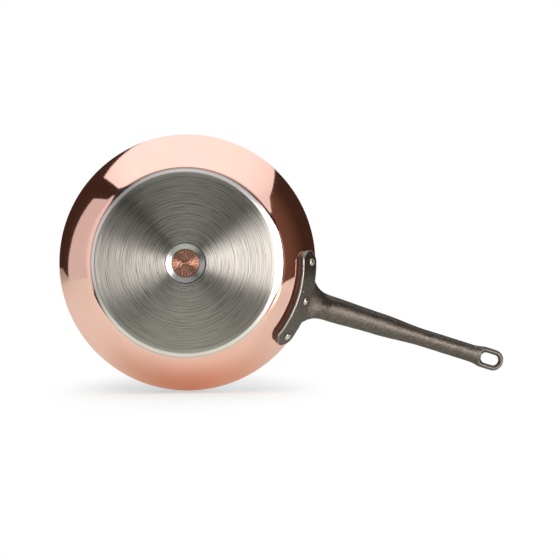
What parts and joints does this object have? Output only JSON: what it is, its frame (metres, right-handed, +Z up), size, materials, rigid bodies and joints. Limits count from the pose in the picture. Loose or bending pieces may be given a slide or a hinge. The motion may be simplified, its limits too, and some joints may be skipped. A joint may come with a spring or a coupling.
{
  "type": "frying pan",
  "caption": "Round copper frying pan with a flared wall, steel lining, turned steel induction base and a long cast-iron handle riveted on, ending in a hanging loop.",
  "frame": {"origin": "middle of the underside, where the pan's axis meets the surface that the pan stands on", "axes": "+Z up along the pan's axis, through its open mouth; +X from the axis out along the handle"},
  "size_m": [0.5087, 0.28, 0.1113],
  "materials": {
    "polished_copper": "polished",
    "lining_steel": "satin",
    "turned_steel": "satin",
    "satin_copper": "satin",
    "cast_iron": "matte",
    "rivet_steel": "satin"
  },
  "bodies": {
    "root": {"copper_shell": "polished_copper", "steel_lining": "lining_steel", "induction_plate": "turned_steel", "base_medallion": "satin_copper", "handle": "cast_iron", "rivet_upper": "rivet_steel", "rivet_middle": "rivet_steel", "rivet_lower": "rivet_steel"}
  },
  "joints": []
}
